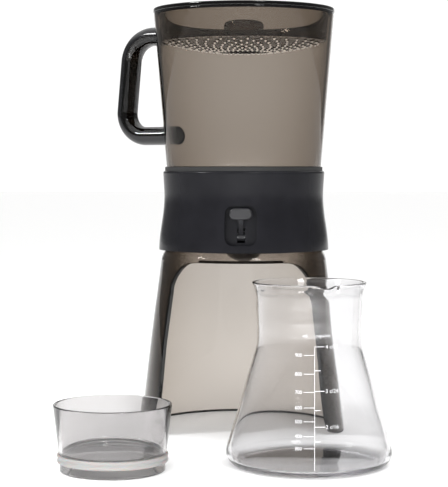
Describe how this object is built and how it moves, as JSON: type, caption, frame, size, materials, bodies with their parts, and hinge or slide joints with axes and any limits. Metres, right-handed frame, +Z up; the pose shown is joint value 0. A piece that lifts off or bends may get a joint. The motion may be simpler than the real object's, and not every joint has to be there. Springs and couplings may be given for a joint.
{
  "type": "cold brew coffee maker",
  "caption": "Drip-style cold brew coffee maker: smoked brewing container with handle and water distributor on an open stand, with glass carafe and cup stopper.",
  "frame": {"origin": "on the counter, on the upright axis of the stand and container", "axes": "+Z up, -Y towards the user (arch, switch and scale), +X to the user's right"},
  "size_m": [0.2639, 0.3437, 0.375],
  "materials": {
    "smoked_plastic": "clear smoked, glossy",
    "clear_smoked_plastic": "clear, faintly grey, glossy",
    "black_gloss": "glossy black",
    "black_satin": "satin black",
    "grey_plastic": "satin mid grey",
    "black_rubber": "matt",
    "white_silicone": "translucent white, satin",
    "steel": "bright",
    "clear_glass": "clear, polished",
    "white_print": "printed white ink"
  },
  "bodies": {
    "stand": {"stand_shell": "smoked_plastic", "foot_strip": "black_rubber"},
    "container": {"brew_container": "smoked_plastic", "container_gasket": "black_rubber", "handle_grip": "black_gloss", "handle_core": "smoked_plastic", "collar_shell": "black_gloss", "switch_recess": "black_satin", "switch_pin": "steel", "collar_base": "black_satin", "rocker_pin": "steel", "collar_screws": "steel", "drip_spout": "black_satin", "valve_seat": "white_silicone", "drain_tube": "black_satin", "drain_tube_screws": "steel", "valve_spring": "steel"},
    "switch": {"brew_switch": "grey_plastic"},
    "rocker": {"valve_rocker": "black_satin"},
    "valve": {"valve_plunger": "grey_plastic", "valve_washer": "white_silicone", "spring_clip": "steel"},
    "filter": {"filter_gasket": "white_silicone", "filter_frame": "black_satin", "filter_mesh": "steel"},
    "rainmaker": {"rainmaker_tray": "smoked_plastic"},
    "carafe": {"carafe_glass": "clear_glass", "carafe_scale": "white_print"},
    "stopper": {"stopper_cup": "clear_smoked_plastic", "stopper_seal": "white_silicone"}
  },
  "joints": [
    {"name": "container_lift", "type": "slide", "parent": "stand", "child": "container", "axis": [0, 0, 1], "range_m": [0, 0.12]},
    {"name": "switch_flip", "type": "hinge", "parent": "container", "child": "switch", "pos_m": [0, -0.0585, 0.174], "axis": [1, 0, 0], "range_deg": [0, 60]},
    {"name": "rocker_tilt", "type": "hinge", "parent": "container", "child": "rocker", "pos_m": [0, 0.04, 0.177], "axis": [1, 0, 0], "range_deg": [-5.5, 0]},
    {"name": "valve_lift", "type": "slide", "parent": "container", "child": "valve", "axis": [0, 0, 1], "range_m": [0, 0.00375], "stiffness_N_per_m": 400, "springref_m": -0.005, "deforming": ["valve_spring"]},
    {"name": "filter_lift", "type": "slide", "parent": "container", "child": "filter", "axis": [0, 0, 1], "range_m": [0, 0.09]},
    {"name": "rainmaker_lift", "type": "slide", "parent": "container", "child": "rainmaker", "axis": [0, 0, 1], "range_m": [0, 0.1]},
    {"name": "carafe_under_spout", "type": "hinge", "parent": "stand", "child": "carafe", "pos_m": [0.23117, -0.01961, 0], "axis": [0, 0, -1], "range_deg": [0, 46.57]},
    {"name": "stopper_lift", "type": "slide", "parent": "stand", "child": "stopper", "axis": [0, 0, 1], "range_m": [0, 0.15]}
  ],
  "couplings": [
    {"joint": "switch_flip", "follows": "valve_lift", "rad_per_m": 279.25},
    {"joint": "rocker_tilt", "follows": "valve_lift", "rad_per_m": -25.598}
  ]
}
